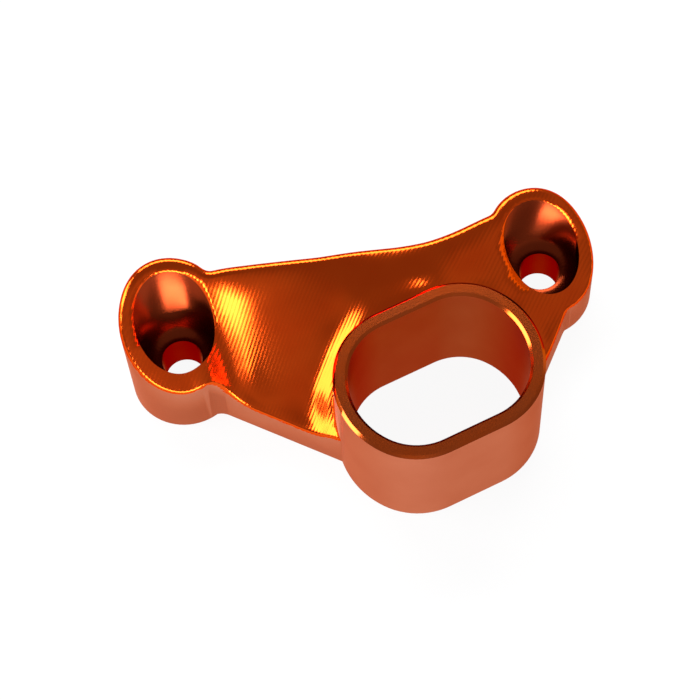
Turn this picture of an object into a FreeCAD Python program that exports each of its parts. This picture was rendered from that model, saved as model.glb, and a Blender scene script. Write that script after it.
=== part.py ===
"""Machined aluminium bracket: an oval sleeve held between two tall screw bosses by a sloping web.

Frame: X runs along the line of the two screw holes, Y towards the straight back edge, Z up.
The origin is midway between the screw holes, on the plane of the flat bottoms. Millimetres.
"""

import FreeCAD, Part
import Sketcher
import math
import os

NODE = "bracket"

doc = FreeCAD.newDocument("bracket")

# ---------------------------------------------------------------- driving dimensions
SIZES = [
    ("hole_pitch", 60.0, "distance between the two screw holes"),
    ("hole_dia", 6.6, "clearance for an M6 socket screw"),
    ("head_bore_dia", 12.4, "counterbore that takes the screw head"),
    ("seat_height", 7.0, "counterbore floor above the bottom"),
    ("boss_dia", 17.3, "outside of a screw boss"),
    ("sleeve_x", 7.5, "sleeve centre, along the hole line"),
    ("sleeve_y", -19.7, "sleeve centre, in front of the hole line"),
    ("sleeve_turn", 11.85, "turn of the sleeve's flats, degrees"),
    ("sleeve_end_bulge", 1.05, "an end's inside radius, past half the width"),
    ("sleeve_end_offset", 2.6, "centre of an end radius from the sleeve's centre"),
    ("sleeve_width", 21.3, "inside of the sleeve, flat to flat"),
    ("sleeve_corner_step", 2.5, "corner radius, short of the end radius"),
    ("sleeve_wall", 2.35, "wall of the sleeve"),
    ("sleeve_height", 22.9, "sleeve rim above the bottom"),
    ("rim_chamfer", 0.45, "chamfers on the sleeve's rim and bottom"),
    ("relief", 1.0, "web underside above the bottom"),
    ("back_left_y", 6.0, "back edge where it leaves the left boss"),
    ("back_mid_x", 11.0, "lowest point of the back edge, along X"),
    ("back_mid_y", 2.0, "lowest point of the back edge"),
    ("back_right_y", 6.4, "back edge where it reaches the right boss"),
    ("back_left_inset", 2.0, "the back edge's left end, inward of the left hole"),
    ("back_right_inset", 3.0, "the back edge's right end, inward of the right hole"),
    ("left_side_inset", 0.6, "web's left side where it leaves the boss, inward of the hole"),
    ("left_side_y", -5.1, "the same point, in front of the hole line"),
    ("right_side_outset", 3.9, "web's right side where it leaves the boss, outward of the hole"),
    ("right_side_y", -6.0, "the same point, in front of the hole line"),
    ("web_left_reach", 13.5, "web's left side where it runs into the sleeve, left of its centre"),
    ("web_left_drop", 4.4, "the same point, in front of the sleeve's centre"),
    ("web_right_reach", 15.0, "web's right side where it runs into the sleeve, right of its centre"),
    ("web_right_drop", 1.3, "the same point, in front of the sleeve's centre"),
    ("back_bend", 30.0, "radius of the bend in the back edge"),
    ("plan_blend", 3.0, "rounding between web sides and bosses, in plan"),
    ("left_mid_height", 20.6, "top surface at the left hole"),
    ("left_slope", 0.95, "rise per length towards the back, left"),
    ("left_crest", 27.6, "ridge height at the left boss"),
    ("right_mid_height", 15.7, "top surface at the right hole"),
    ("right_slope", 0.82, "rise per length towards the back, right"),
    ("right_crest", 20.9, "ridge height at the right boss"),
    ("right_fall", 0.42, "fall per length past the right hole, along X"),
    ("side_angle", 0.887, "direction the left side faces, radians"),
    ("side_offset", 3.55, "left side from the left hole"),
    ("web_floor", 6.6, "top of the web where the slope runs out"),
    ("edge_round", 1.0, "rounding of the top outline"),
    ("sleeve_fillet", 5.0, "fillet between web and sleeve"),
]
sheet = doc.addObject("Spreadsheet::Sheet", "Sizes")
for row, (alias, value, note) in enumerate(SIZES, start=1):
    sheet.set("A%d" % row, note)
    sheet.set("B%d" % row, str(value))
    sheet.setAlias("B%d" % row, alias)
doc.recompute()


def size(alias):
    return float(sheet.get(alias))


def bind(thing, **links):
    for name, formula in links.items():
        thing.setExpression(name.replace("__", "."), formula)


# ---------------------------------------------------------------- screw bosses
def boss(name, side):
    post = doc.addObject("Part::Cylinder", name)
    bind(post, Radius="Sizes.boss_dia / 2", Height="Sizes.left_crest + 4",
         Placement__Base__x="%d * Sizes.hole_pitch / 2" % side)
    return post


left_boss = boss("LeftBoss", -1)
right_boss = boss("RightBoss", 1)


# ---------------------------------------------------------------- sleeve
def oval_sketch(name, grow):
    """A flat-sided oval of eight tangent pieces, round its own origin.

    grow is the expression added to every radius.
    """
    sketch = doc.addObject("Sketcher::SketchObject", name)
    extra = size("sleeve_wall") if grow != "0 mm" else 0.0
    half, off = size("sleeve_width") / 2 + extra, size("sleeve_end_offset")
    end_r = half + size("sleeve_end_bulge")
    corner_r = end_r - size("sleeve_corner_step")
    corner_y = half - corner_r
    corner_x = off + math.sqrt((end_r - corner_r) ** 2 - corner_y ** 2)
    meet = math.atan2(corner_y, corner_x - off)
    V, up = FreeCAD.Vector, FreeCAD.Vector(0, 0, 1)

    def arc(x, y, radius, start, end):
        sketch.addGeometry(Part.ArcOfCircle(Part.Circle(V(x, y, 0), up, radius), start, end))

    quarter, turn = math.pi / 2, math.pi
    arc(off, 0, end_r, -meet, meet)
    arc(corner_x, corner_y, corner_r, meet, quarter)
    sketch.addGeometry(Part.LineSegment(V(corner_x, half, 0), V(-corner_x, half, 0)))
    arc(-corner_x, corner_y, corner_r, quarter, turn - meet)
    arc(-off, 0, end_r, turn - meet, turn + meet)
    arc(-corner_x, -corner_y, corner_r, turn + meet, turn + quarter)
    sketch.addGeometry(Part.LineSegment(V(-corner_x, -half, 0), V(corner_x, -half, 0)))
    arc(corner_x, -corner_y, corner_r, turn + quarter, 2 * turn - meet)
    for k in range(8):
        sketch.addConstraint(Sketcher.Constraint("Tangent", k, 2, (k + 1) % 8, 1))
    sketch.addConstraint([
        Sketcher.Constraint("Equal", 0, 4), Sketcher.Constraint("Equal", 1, 3),
        Sketcher.Constraint("Equal", 1, 5), Sketcher.Constraint("Equal", 1, 7),
        Sketcher.Constraint("PointOnObject", 0, 3, -1),
        Sketcher.Constraint("Symmetric", 0, 3, 4, 3, -1, 1),
        Sketcher.Constraint("Horizontal", 2), Sketcher.Constraint("Horizontal", 6),
    ])
    for label, constraint in [("end", Sketcher.Constraint("Radius", 0, end_r)),
                              ("corner", Sketcher.Constraint("Radius", 1, corner_r)),
                              ("offset", Sketcher.Constraint("DistanceX", -1, 1, 0, 3, off)),
                              ("top", Sketcher.Constraint("DistanceY", -1, 1, 2, 1, half)),
                              ("bottom", Sketcher.Constraint("DistanceY", 6, 1, -1, 1, half))]:
        sketch.addConstraint(constraint)
        sketch.renameConstraint(sketch.ConstraintCount - 1, label)
    end = "(Sizes.sleeve_width / 2 + Sizes.sleeve_end_bulge) * 1 mm + " + grow
    bind(sketch, Constraints__end=end,
         Constraints__corner=end + " - Sizes.sleeve_corner_step * 1 mm",
         Constraints__offset="Sizes.sleeve_end_offset * 1 mm",
         Constraints__top="Sizes.sleeve_width * 0.5 mm + " + grow,
         Constraints__bottom="Sizes.sleeve_width * 0.5 mm + " + grow,
         Placement__Base__x="Sizes.sleeve_x", Placement__Base__y="Sizes.sleeve_y",
         Placement__Rotation__Angle="Sizes.sleeve_turn * 1 deg")
    return sketch


def pull(name, sketch, height):
    """Extrudes a sketch straight up by the expression height."""
    solid = doc.addObject("Part::Extrusion", name)
    solid.Base, solid.DirMode, solid.Dir, solid.Solid = sketch, "Custom", FreeCAD.Vector(0, 0, 1), True
    bind(solid, LengthFwd=height)
    return solid


def combine(kind, name, *things):
    """A boolean of the document's objects: Part::MultiFuse, Part::MultiCommon or Part::Cut."""
    result = doc.addObject(kind, name)
    if kind == "Part::Cut":
        result.Base, result.Tool = things
    else:
        result.Shapes = list(things)
    return result


def dress(kind, name, base, amount, wanted):
    """A Part::Fillet or Part::Chamfer on the edges of base that wanted() picks."""
    doc.recompute()
    result = doc.addObject(kind, name)
    result.Base = base
    result.Edges = [(n, amount, amount) for n, edge in enumerate(base.Shape.Edges, start=1) if wanted(edge)]
    return result


def level(edge, height, slack=0.01):
    """True where the whole edge lies at one height."""
    box = edge.BoundBox
    return abs(box.ZMin - height) < slack and abs(box.ZMax - height) < slack


outside = pull("SleeveOutside", oval_sketch("SleeveOuter", "Sizes.sleeve_wall * 1 mm"), "Sizes.sleeve_height")
opening = pull("SleeveOpening", oval_sketch("SleeveInner", "0 mm"), "Sizes.left_crest + 10")
bind(opening, LengthRev="5")
tube = combine("Part::Cut", "SleeveTube", outside, opening)
sleeve = dress("Part::Chamfer", "Sleeve", tube, size("rim_chamfer"),
               lambda e: level(e, size("sleeve_height")) or level(e, 0))

# ---------------------------------------------------------------- web, in plan
def web_sketch():
    """The web's outline: a back edge with a shallow bend, and a straight side from each boss into the sleeve."""
    sketch = doc.addObject("Sketcher::SketchObject", "WebOutline")
    half = "Sizes.hole_pitch / 2"
    corners = [
        ("-(%s) + Sizes.back_left_inset" % half, "Sizes.back_left_y"),
        ("Sizes.back_mid_x", "Sizes.back_mid_y"),
        ("%s - Sizes.back_right_inset" % half, "Sizes.back_right_y"),
        ("%s + Sizes.right_side_outset" % half, "Sizes.right_side_y"),
        ("Sizes.sleeve_x + Sizes.web_right_reach", "Sizes.sleeve_y - Sizes.web_right_drop"),
        ("Sizes.sleeve_x - Sizes.web_left_reach", "Sizes.sleeve_y - Sizes.web_left_drop"),
        ("-(%s) + Sizes.left_side_inset" % half, "Sizes.left_side_y"),
    ]
    sheet_value = lambda text: doc.getObject("Sizes").evalExpression(text)
    points = [FreeCAD.Vector(float(sheet_value(x)), float(sheet_value(y)), 0) for x, y in corners]
    for k, point in enumerate(points):
        sketch.addGeometry(Part.LineSegment(point, points[(k + 1) % len(points)]))
    for k in range(len(points)):
        sketch.addConstraint(Sketcher.Constraint("Coincident", k, 2, (k + 1) % len(points), 1))
    for k, (x, y) in enumerate(corners):
        for axis, formula, value in (("X", x, points[k].x), ("Y", y, points[k].y)):
            sketch.addConstraint(Sketcher.Constraint("Distance" + axis, -1, 1, k, 1, value))
            label = "corner%d%s" % (k, axis.lower())
            sketch.renameConstraint(sketch.ConstraintCount - 1, label)
            sketch.setExpression("Constraints." + label, "(%s) * 1 mm" % formula)
    bind(sketch, Placement__Base__z="Sizes.relief")
    return sketch


web = pull("Web", web_sketch(), "Sizes.left_crest + 3")
blank_sharp = combine("Part::MultiFuse", "BlankSharp", web, left_boss, right_boss)


def upright(edge):
    """True for a straight vertical edge where the web's side meets a boss, or at the bend of the back edge."""
    box = edge.BoundBox
    return box.ZLength > size("seat_height") and box.XLength < 0.01 and box.YLength < 0.01


def in_corner(edge):
    """An upright edge between a web side and the round outside of a boss."""
    if not upright(edge):
        return False
    x, y = edge.BoundBox.Center.x, edge.BoundBox.Center.y
    half = size("hole_pitch") / 2
    gaps = [abs(math.hypot(x - side * half, y) - size("boss_dia") / 2) for side in (-1, 1)]
    return min(gaps) < 0.02 and abs(edge.BoundBox.ZMin - size("relief")) < 0.02


blank_corners = dress("Part::Fillet", "BlankCorners", blank_sharp, size("plan_blend"), in_corner)
blank = dress("Part::Fillet", "Blank", blank_corners, size("back_bend"),
              lambda e: upright(e) and abs(e.BoundBox.Center.x - size("back_mid_x")) < 0.1)


# ---------------------------------------------------------------- sloping top
def smooth(value, low, high):
    t = min(1.0, max(0.0, (value - low) / (high - low)))
    return t * t * (3 - 2 * t)


def soft_min(a, b, width):
    blend = max(width - abs(a - b), 0.0) / width
    return min(a, b) - blend * blend * width / 4


def gap_to_sleeve(x, y):
    """Distance in plan from a point to the sleeve's outside, negative inside it."""
    turn = math.radians(size("sleeve_turn"))
    dx, dy = x - size("sleeve_x"), y - size("sleeve_y")
    along = abs(dx * math.cos(turn) + dy * math.sin(turn))
    across = abs(dy * math.cos(turn) - dx * math.sin(turn))
    wall, off, half = size("sleeve_wall"), size("sleeve_end_offset"), size("sleeve_width") / 2
    end_r = half + size("sleeve_end_bulge")
    corner_r = end_r - size("sleeve_corner_step")
    corner_y = half - corner_r
    corner_x = off + math.sqrt((end_r - corner_r) ** 2 - corner_y ** 2)
    if along < corner_x:
        return across - half - wall
    if math.atan2(across - corner_y, along - corner_x) > math.atan2(corner_y, corner_x - off):
        return math.hypot(along - corner_x, across - corner_y) - corner_r - wall
    return math.hypot(along - off, across) - end_r - wall


def top_height(x, y):
    """Height of the milled top: a slope that falls from the ridge along the back edge to the web's sides."""
    half = size("hole_pitch") / 2
    across = (x + half) / (2 * half)
    crest = size("left_crest") + (size("right_crest") - size("left_crest")) * across
    left = size("left_mid_height") + size("left_slope") * y
    right = size("right_mid_height") + size("right_slope") * y - size("right_fall") * (x - half)
    back_tilt = (size("back_left_y") - size("back_mid_y")) / (size("back_mid_x") + half)
    back = size("back_mid_y") + back_tilt * (size("back_mid_x") - x)
    side = size("side_angle")
    to_back = back - y
    to_side = (x + half) * math.cos(side) + y * math.sin(side) + size("side_offset")
    run = max(to_back + to_side, 1.0)
    ruled = size("web_floor") + (crest + 1.0 - size("web_floor")) * to_side / run
    web_part = ruled + (right - ruled) * smooth(x, size("sleeve_x") - 14, size("sleeve_x") + 4)
    height = left + (web_part - left) * smooth(x, -half + 3, -half + 10)
    height = soft_min(height, crest, 3.0)
    height = -soft_min(-height, -size("web_floor"), 4.0)
    radius = size("sleeve_fillet")
    into = radius - max(gap_to_sleeve(x, y), 0.2 * radius)
    rise = radius - math.sqrt(radius ** 2 - into ** 2) if into > 0 else 0.0
    return soft_min(height + rise, max(height, size("sleeve_height") - 1.0), 1.0)


def milled_top():
    """The material under the top surface, as one smooth surface pulled down past the bottom."""
    reach_x, low_y, high_y, step = 45, -39, 15, 3
    rows = [[FreeCAD.Vector(x, y, top_height(x, y)) for y in range(low_y, high_y + 1, step)]
            for x in range(-reach_x, reach_x + 1, step)]
    surface = Part.BSplineSurface()
    surface.interpolate(rows)
    under = doc.addObject("Part::Feature", "UnderTop")
    under.Shape = surface.toShape().extrude(FreeCAD.Vector(0, 0, -60))
    return under


shaped = combine("Part::MultiCommon", "Shaped", blank, milled_top())


# ---------------------------------------------------------------- roundings, sleeve and screw seats
def on_top(shape):
    """Picks the edges that bound the milled top face."""
    top = max((f for f in shape.Faces if isinstance(f.Surface, Part.BSplineSurface)), key=lambda f: f.Area)
    return lambda edge: any(edge.isSame(other) for other in top.OuterWire.Edges)


doc.recompute()
rounded = dress("Part::Fillet", "Rounded", shaped, size("edge_round"), on_top(shaped.Shape))
joined = combine("Part::MultiFuse", "Joined", rounded, sleeve)


def bore(name, side, diameter, bottom):
    """A vertical cutter on a screw axis, from the expression bottom up past the top."""
    cutter = doc.addObject("Part::Cylinder", name)
    bind(cutter, Radius=diameter + " / 2", Height="Sizes.left_crest + 20",
         Placement__Base__x="%d * Sizes.hole_pitch / 2" % side, Placement__Base__z=bottom)
    return cutter


cutters = [opening]
for side, label in ((-1, "Left"), (1, "Right")):
    cutters.append(bore(label + "Hole", side, "Sizes.hole_dia", "-5"))
    cutters.append(bore(label + "HeadBore", side, "Sizes.head_bore_dia", "Sizes.seat_height"))
bracket_cut = combine("Part::Cut", "BracketCut", joined, combine("Part::MultiFuse", "Cutters", *cutters))


# ---------------------------------------------------------------- small edges, and the finished piece
def boss_foot(edge):
    """The round outer edge under a screw boss."""
    if not level(edge, 0) or not isinstance(edge.Curve, Part.Circle):
        return False
    return abs(edge.Curve.Radius - size("boss_dia") / 2) < 0.01


bracket = dress("Part::Chamfer", "Bracket", bracket_cut, size("rim_chamfer"), boss_foot)
bracket.Label = NODE
bracket.Placement = FreeCAD.Placement()
doc.recompute()

for thing in doc.Objects:
    if "Invalid" in thing.State or "Error" in thing.State:
        raise SystemExit("%s did not build: %s" % (thing.Name, thing.State))
if not bracket.Shape.isValid() or len(bracket.Shape.Solids) != 1:
    raise SystemExit("the bracket isn't one sound solid")

os.makedirs("parts", exist_ok=True)
bracket.Shape.exportStep("parts/%s.step" % NODE)
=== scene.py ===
# %% [markdown]
# # A milled and anodised aluminium bracket
# The bracket is one piece of aluminium: an oval sleeve, a sloping web and two screw bosses.
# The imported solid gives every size. This lesson only dresses it: a smooth skin, five finishes,
# soft studio light and a camera.

# %% Load the frame
import math

import bmesh
import bpy
import numpy as np
from mathutils import Matrix, Vector


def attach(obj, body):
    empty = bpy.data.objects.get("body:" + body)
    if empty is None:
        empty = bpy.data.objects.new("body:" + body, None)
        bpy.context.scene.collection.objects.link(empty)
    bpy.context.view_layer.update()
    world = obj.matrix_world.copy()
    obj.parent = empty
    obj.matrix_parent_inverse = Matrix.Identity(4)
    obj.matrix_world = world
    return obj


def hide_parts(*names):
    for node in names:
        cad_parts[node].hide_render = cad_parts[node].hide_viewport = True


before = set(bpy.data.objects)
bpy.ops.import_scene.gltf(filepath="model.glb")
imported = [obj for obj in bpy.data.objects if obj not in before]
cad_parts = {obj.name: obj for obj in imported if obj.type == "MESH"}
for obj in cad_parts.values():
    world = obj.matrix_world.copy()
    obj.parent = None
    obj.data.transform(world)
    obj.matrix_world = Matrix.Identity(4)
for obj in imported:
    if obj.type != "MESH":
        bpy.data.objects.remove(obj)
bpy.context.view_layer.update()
MM = 0.001

# %% [markdown]
# ## A smooth skin over the solid
# The solid arrives as loose triangles, so light would break on every facet. A copy of the mesh is
# welded, its soft blends share normals, and only true machined edges stay sharp. The copy keeps
# every corner of the solid, so no size changes.

# %% Weld a copy of the solid and keep its real edges sharp
EDGE_ANGLE = math.radians(24)
WELD_REACH = 0.002 * MM


def welded_copy(node, name):
    """The node's mesh with coincident corners joined, as a new object at the origin."""
    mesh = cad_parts[node].data.copy()
    mesh.name = name
    work = bmesh.new()
    work.from_mesh(mesh)
    bmesh.ops.remove_doubles(work, verts=work.verts, dist=WELD_REACH)
    work.to_mesh(mesh)
    work.free()
    mesh.polygons.foreach_set("use_smooth", np.ones(len(mesh.polygons), dtype=bool))
    mesh.set_sharp_from_angle(angle=EDGE_ANGLE)
    welded = bpy.data.objects.new(name, mesh)
    bpy.context.scene.collection.objects.link(welded)
    return welded


skin = welded_copy("bracket", "bracket_skin")
print("skin faces:", len(skin.data.polygons))

# %% [markdown]
# ## Which surface was cut how
# A ball cutter left the glossy top with its fine parallel ridges. The upright walls were cut by the
# side of an end mill and look satin. The sleeve's rim is a flat, nearly mirror-bright face. The
# inside of the sleeve and of the screw seats gets darker dyes, painted shade for light that bounces
# there more than once.
# A face's direction and place decide its finish, so no face has to be picked by hand.

# %% Read where every face lies and where it looks
def face_arrays(mesh):
    """Face directions and middles as two arrays of rows."""
    count = len(mesh.polygons)
    normals, middles = np.empty(count * 3), np.empty(count * 3)
    mesh.polygons.foreach_get("normal", normals)
    mesh.polygons.foreach_get("center", middles)
    return normals.reshape(-1, 3), middles.reshape(-1, 3)


normals, middles = face_arrays(skin.data)
print("faces that look up:", int((normals[:, 2] > 0).sum()))

# %% Places on the bracket that tell the finishes apart
HOLE_X = 30 * MM
BORE_REACH = 6.3 * MM
SLEEVE_TOP = 22.9 * MM
SLEEVE_MIDDLE = np.array((7.5, -19.7)) * MM
SLEEVE_REACH = 15.5 * MM
RIM_SLACK = 0.5 * MM
RIM_TILT = 0.6
IN_FRONT_OF_HOLES = -5 * MM
WALL_TILT = 0.12
FOOT_HEIGHT = 0.6 * MM

upright = np.abs(normals[:, 2]) < WALL_TILT
upward = normals[:, 2] >= WALL_TILT
at_rim_height = np.abs(middles[:, 2] - SLEEVE_TOP) < RIM_SLACK
rim = (normals[:, 2] > RIM_TILT) & at_rim_height & (middles[:, 1] < IN_FRONT_OF_HOLES)
to_hole = np.hypot(np.abs(middles[:, 0]) - HOLE_X, middles[:, 1])
from_sleeve = middles[:, :2] - SLEEVE_MIDDLE
facing_in = (from_sleeve * normals[:, :2]).sum(axis=1) < 0
near_sleeve = np.hypot(from_sleeve[:, 0], from_sleeve[:, 1]) < SLEEVE_REACH
print("faces on the rim:", int(rim.sum()), "and in the bores:", int((to_hole < BORE_REACH).sum()))

# %% Give each face the number of its finish
SATIN, MILLED, RIM, BORE_WITH_PAINTED_SHADE, INNER_WITH_PAINTED_SHADE = range(5)
finish = np.full(len(normals), SATIN)
finish[upward] = MILLED
finish[rim] = RIM
# The bores and the sleeve's inner walls take the finishes whose darker dyes are painted shade.
finish[to_hole < BORE_REACH] = BORE_WITH_PAINTED_SHADE
finish[middles[:, 2] < FOOT_HEIGHT] = SATIN
finish[upright & facing_in & near_sleeve] = INNER_WITH_PAINTED_SHADE
print("faces per finish:", np.bincount(finish, minlength=5))

# %% [markdown]
# ## Anodised orange
# Anodising dyes the oxide but leaves the metal's own reflection, so each finish is a metal whose
# colour tints what it mirrors. The colour drifts a little from place to place, as on real parts.
# The walls are paler because a rough surface scatters more white light. The bores and the inside of
# the sleeve get deeper dyes as painted shade.

# %% The dyes, each with the deeper one that it drifts to
TOP_DYE = ((0.86, 0.1, 0.009, 1), (0.74, 0.06, 0.005, 1))
WALL_DYE = ((0.64, 0.245, 0.155, 1), (0.57, 0.195, 0.12, 1))
RIM_DYE = ((0.62, 0.075, 0.005, 1), (0.44, 0.085, 0.022, 1))
# The bore and sleeve-inside dyes are darker than the metal's own colour: painted shade for the
# hollows.
BORE_DYE_WITH_PAINTED_SHADE = ((0.32, 0.045, 0.012, 1), (0.22, 0.022, 0.006, 1))
INNER_DYE_WITH_PAINTED_SHADE = ((0.42, 0.115, 0.06, 1), (0.36, 0.085, 0.042, 1))
EDGE_DYE = (0.62, 0.2, 0.08, 1)
DRIFT_SCALE = 140
print("top dye:", TOP_DYE[0][:3])


# %% A metal between two dyes
def metal(name, dyes, roughness):
    """A metal whose colour drifts between two dyes, with its shader and its place node."""
    material = bpy.data.materials.new(name)
    material.use_nodes = True
    nodes, links = material.node_tree.nodes, material.node_tree.links
    shader = nodes["Principled BSDF"]
    shader.inputs["Metallic"].default_value = 1.0
    shader.inputs["Roughness"].default_value = roughness
    shader.inputs["Specular Tint"].default_value = EDGE_DYE
    place = nodes.new("ShaderNodeTexCoord")
    drift = nodes.new("ShaderNodeTexNoise")
    drift.inputs["Scale"].default_value = DRIFT_SCALE
    links.new(place.outputs["Object"], drift.inputs["Vector"])
    mix = nodes.new("ShaderNodeMix")
    mix.data_type = "RGBA"
    mix.inputs[6].default_value, mix.inputs[7].default_value = dyes
    links.new(drift.outputs["Fac"], mix.inputs[0])
    links.new(mix.outputs[2], shader.inputs["Base Color"])
    return material, nodes, links, shader, place


def relief(nodes, links, shader, height, depth):
    """Feeds a height to the shader as bump; depth is in metres at full height."""
    bump = nodes.new("ShaderNodeBump")
    bump.inputs["Strength"].default_value = 1.0
    bump.inputs["Distance"].default_value = depth
    links.new(height, bump.inputs["Height"])
    links.new(bump.outputs["Normal"], shader.inputs["Normal"])


print("metal() mixes two dyes, relief() adds fine height")

# %% [markdown]
# ## Cutter marks
# A ball cutter moves sideways by a fixed step, so its ridges are parallel bands. They are finer than
# a mesh should carry, so a wave in object space bends the light instead. The walls get an even grain.

# %% Ridges and grain
PASS_TURN = math.radians(43)
RIDGE_PITCH = 0.55 * MM
BANDS_PER_METRE = math.tau / 20 / RIDGE_PITCH


def milled(name, dyes, roughness, depth):
    """Gloss with the parallel ridges that a ball cutter leaves, one ridge per sideways step."""
    material, nodes, links, shader, place = metal(name, dyes, roughness)
    turn = nodes.new("ShaderNodeMapping")
    turn.inputs["Rotation"].default_value = (0, 0, PASS_TURN)
    links.new(place.outputs["Object"], turn.inputs["Vector"])
    ridges = nodes.new("ShaderNodeTexWave")
    ridges.wave_type, ridges.bands_direction, ridges.wave_profile = "BANDS", "X", "SIN"
    ridges.inputs["Scale"].default_value = BANDS_PER_METRE
    ridges.inputs["Distortion"].default_value = 0.0
    links.new(turn.outputs["Vector"], ridges.inputs["Vector"])
    relief(nodes, links, shader, ridges.outputs["Fac"], depth)
    return material


def satin(name, dyes, roughness, grain_scale, depth):
    """A metal with a fine even grain under the dye."""
    material, nodes, links, shader, place = metal(name, dyes, roughness)
    grain = nodes.new("ShaderNodeTexNoise")
    grain.inputs["Scale"].default_value = grain_scale
    links.new(place.outputs["Object"], grain.inputs["Vector"])
    relief(nodes, links, shader, grain.outputs["Fac"], depth)
    return material


print("ridge pitch:", RIDGE_PITCH / MM, "mm")

# %% Dress the skin, and let it stand for the solid
FINISHES = (
    satin("satin_wall", WALL_DYE, 0.46, 9000, 0.004 * MM),
    milled("milled_top", TOP_DYE, 0.16, 0.011 * MM),
    satin("mirror_rim", RIM_DYE, 0.14, 3000, 0.0006 * MM),
    # The bore and sleeve-inside finishes carry painted shade in their darker dyes.
    satin("bore_gloss_painted_shade", BORE_DYE_WITH_PAINTED_SHADE, 0.22, 2500, 0.0012 * MM),
    satin("sleeve_inside_painted_shade", INNER_DYE_WITH_PAINTED_SHADE, 0.36, 6000, 0.002 * MM),
)
skin.data.materials.clear()
for made in FINISHES:
    skin.data.materials.append(made)
skin.data.polygons.foreach_set("material_index", finish.astype(np.int32))
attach(skin, "root")
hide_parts("bracket")
print("finishes:", [made.name for made in FINISHES])

# %% [markdown]
# ## Floor
# A pale sheet stands in for the photographer's table. Seen straight, or mirrored in the metal, it is
# mostly its own even white; the small share that is lit keeps the part's soft shadow.

# %% Floor
FLOOR = 3.0
WHITE_SHARE = 0.93
CORNERS = [(-FLOOR, -FLOOR, 0), (FLOOR, -FLOOR, 0), (FLOOR, FLOOR, 0), (-FLOOR, FLOOR, 0)]
floor_mesh = bpy.data.meshes.new("floor")
floor_mesh.from_pydata(CORNERS, [], [(0, 1, 2, 3)])
floor = bpy.data.objects.new("floor", floor_mesh)
bpy.context.scene.collection.objects.link(floor)
paper = bpy.data.materials.new("paper")
paper.use_nodes = True
nodes, links = paper.node_tree.nodes, paper.node_tree.links
matte = nodes["Principled BSDF"]
matte.inputs["Base Color"].default_value = (0.9, 0.9, 0.9, 1)
matte.inputs["Roughness"].default_value = 1.0
matte.inputs["Specular IOR Level"].default_value = 0.0
glow = nodes.new("ShaderNodeEmission")
glow.inputs["Color"].default_value = (1, 1, 1, 1)
glow.inputs["Strength"].default_value = 1.0
seen = nodes.new("ShaderNodeLightPath")
either = nodes.new("ShaderNodeMath")
either.operation = "MAXIMUM"
links.new(seen.outputs["Is Camera Ray"], either.inputs[0])
links.new(seen.outputs["Is Glossy Ray"], either.inputs[1])
share = nodes.new("ShaderNodeMath")
share.operation = "MULTIPLY"
share.inputs[1].default_value = WHITE_SHARE
links.new(either.outputs[0], share.inputs[0])
blend = nodes.new("ShaderNodeMixShader")
links.new(share.outputs[0], blend.inputs[0])
links.new(matte.outputs[0], blend.inputs[1])
links.new(glow.outputs[0], blend.inputs[2])
links.new(blend.outputs[0], nodes["Material Output"].inputs["Surface"])
floor_mesh.materials.append(paper)
print("floor of", 2 * FLOOR, "m")

# %% [markdown]
# ## The room
# Metal shows its room more than its lamps. This room is a grey gradient from the horizon up, which
# gives the top its dark and middle tones, while the camera itself sees plain white.

# %% World: a grey gradient by height, white to the camera
HORIZON, ZENITH = 0.35, 0.25
BETWEEN = ((0.2, 0.28), (0.5, 0.42), (0.8, 0.26))


def grey(level):
    """An opaque grey of one level."""
    return (level, level, level, 1)


world = bpy.data.worlds.new("studio")
bpy.context.scene.world = world
world.use_nodes = True
nodes, links = world.node_tree.nodes, world.node_tree.links
nodes.clear()
direction = nodes.new("ShaderNodeTexCoord")
split = nodes.new("ShaderNodeSeparateXYZ")
links.new(direction.outputs["Generated"], split.inputs[0])
ramp = nodes.new("ShaderNodeValToRGB")
stops = ramp.color_ramp.elements
stops[0].position, stops[0].color = 0.0, grey(HORIZON)
stops[1].position, stops[1].color = 1.0, grey(ZENITH)
for position, level in BETWEEN:
    stops.new(position).color = grey(level)
links.new(split.outputs["Z"], ramp.inputs["Fac"])
white = nodes.new("ShaderNodeBackground")
white.inputs["Color"].default_value = (1, 1, 1, 1)
room = nodes.new("ShaderNodeBackground")
links.new(ramp.outputs["Color"], room.inputs["Color"])
seen = nodes.new("ShaderNodeLightPath")
choose = nodes.new("ShaderNodeMixShader")
links.new(seen.outputs["Is Camera Ray"], choose.inputs[0])
links.new(room.outputs[0], choose.inputs[1])
links.new(white.outputs[0], choose.inputs[2])
output = nodes.new("ShaderNodeOutputWorld")
links.new(choose.outputs[0], output.inputs["Surface"])
print("world stops:", len(stops))

# %% [markdown]
# ## Softboxes
# Each box is placed where the surface that should shine mirrors it to the camera: one behind for the
# ridge, one low on the left for the blend beside the sleeve, and a low strip in front for the edges.


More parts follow.
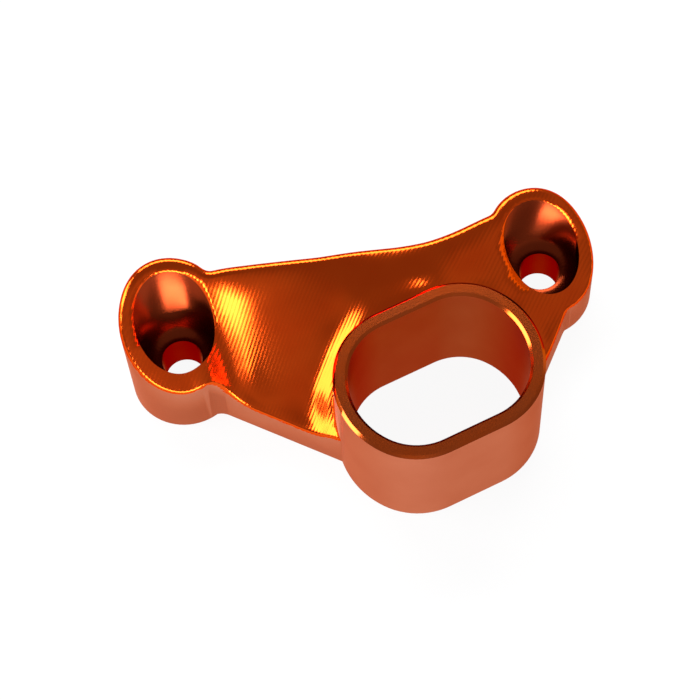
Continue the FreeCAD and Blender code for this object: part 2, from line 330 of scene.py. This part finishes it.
# %% Softboxes
def softbox(name, place, size, watts):
    """A rectangular lamp at place, facing the part."""
    lamp = bpy.data.lights.new(name, "AREA")
    lamp.shape, lamp.size, lamp.size_y, lamp.energy = "RECTANGLE", size[0], size[1], watts
    box = bpy.data.objects.new(name, lamp)
    box.location = place
    box.rotation_euler = Vector(place).to_track_quat("Z", "Y").to_euler()
    bpy.context.scene.collection.objects.link(box)
    print(name, "of", watts, "W at", place)


softbox("back_box", (0.05, 0.7, 0.72), (1.2, 0.5), 18)
softbox("left_box", (-0.92, 0.12, 0.38), (0.7, 0.5), 13)
softbox("front_strip", (-0.22, -0.95, 0.14), (0.7, 0.2), 7)

# %% [markdown]
# ## Camera
# The photographer stood in front and looked steeply down, with a long lens and a slight roll. Three
# angles and a place say that plainly, and the camera's three axes follow from them.

# %% Camera
CAMERA_PLACE = Vector((-33.65, -164.74, 343.5)) * MM
AZIMUTH, ELEVATION, ROLL = (math.radians(a) for a in (-10.74, 64.29, -4.20))
LENS, SENSOR, NEAR = 119.05, 36.0, 0.01
away_x = math.sin(AZIMUTH) * math.cos(ELEVATION)
away_y = -math.cos(AZIMUTH) * math.cos(ELEVATION)
back = Vector((away_x, away_y, math.sin(ELEVATION)))
level = Vector((math.cos(AZIMUTH), math.sin(AZIMUTH), 0))
upright_axis = back.cross(level)
right = math.cos(ROLL) * level + math.sin(ROLL) * upright_axis
up = math.cos(ROLL) * upright_axis - math.sin(ROLL) * level
turn = Matrix((right, up, back)).transposed().to_4x4()
lens = bpy.data.cameras.new("camera")
lens.lens, lens.sensor_width, lens.clip_start = LENS, SENSOR, NEAR
camera = bpy.data.objects.new("camera", lens)
camera.matrix_world = Matrix.Translation(CAMERA_PLACE) @ turn
bpy.context.scene.collection.objects.link(camera)
bpy.context.scene.camera = camera
bpy.context.scene.view_settings.view_transform = "Standard"
print("camera at", tuple(CAMERA_PLACE), "m with a lens of", LENS, "mm")

# %% [markdown]
# ## Sizes
# The dressed skin keeps every corner of the solid, so it fills the same box. The dressed part
# has to fill the same box as the solid.

# %% The end of the script
print("end of the script")
